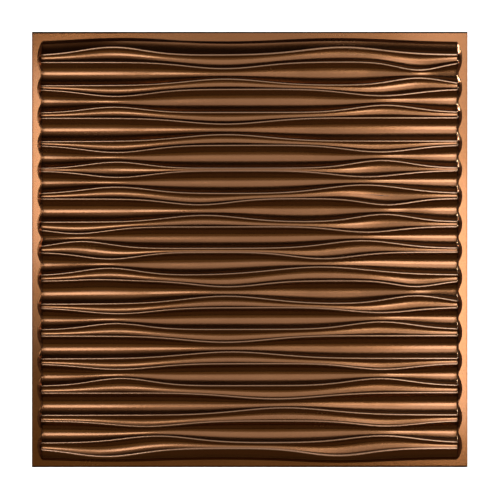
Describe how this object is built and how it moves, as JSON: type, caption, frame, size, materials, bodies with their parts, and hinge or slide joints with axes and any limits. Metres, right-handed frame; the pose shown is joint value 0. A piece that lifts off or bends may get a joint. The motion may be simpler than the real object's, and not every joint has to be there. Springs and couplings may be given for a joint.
{
  "type": "ceiling tile",
  "caption": "Square lay-in ceiling tile formed from one thin sheet: wavy sharp-edged ridges run side to side inside a flat flange that rests on a ceiling grid.",
  "frame": {"origin": "middle of the flange's underside, where the tile lies on a level floor with its patterned face up", "axes": "+X along the ridges, +Y towards the edge that is at the top of the picture, +Z out of the patterned face"},
  "size_m": [0.6032, 0.6032, 0.009],
  "materials": {
    "sheet": "satin metallic bronze"
  },
  "bodies": {
    "root": {"ceiling_tile": "sheet"}
  },
  "joints": []
}
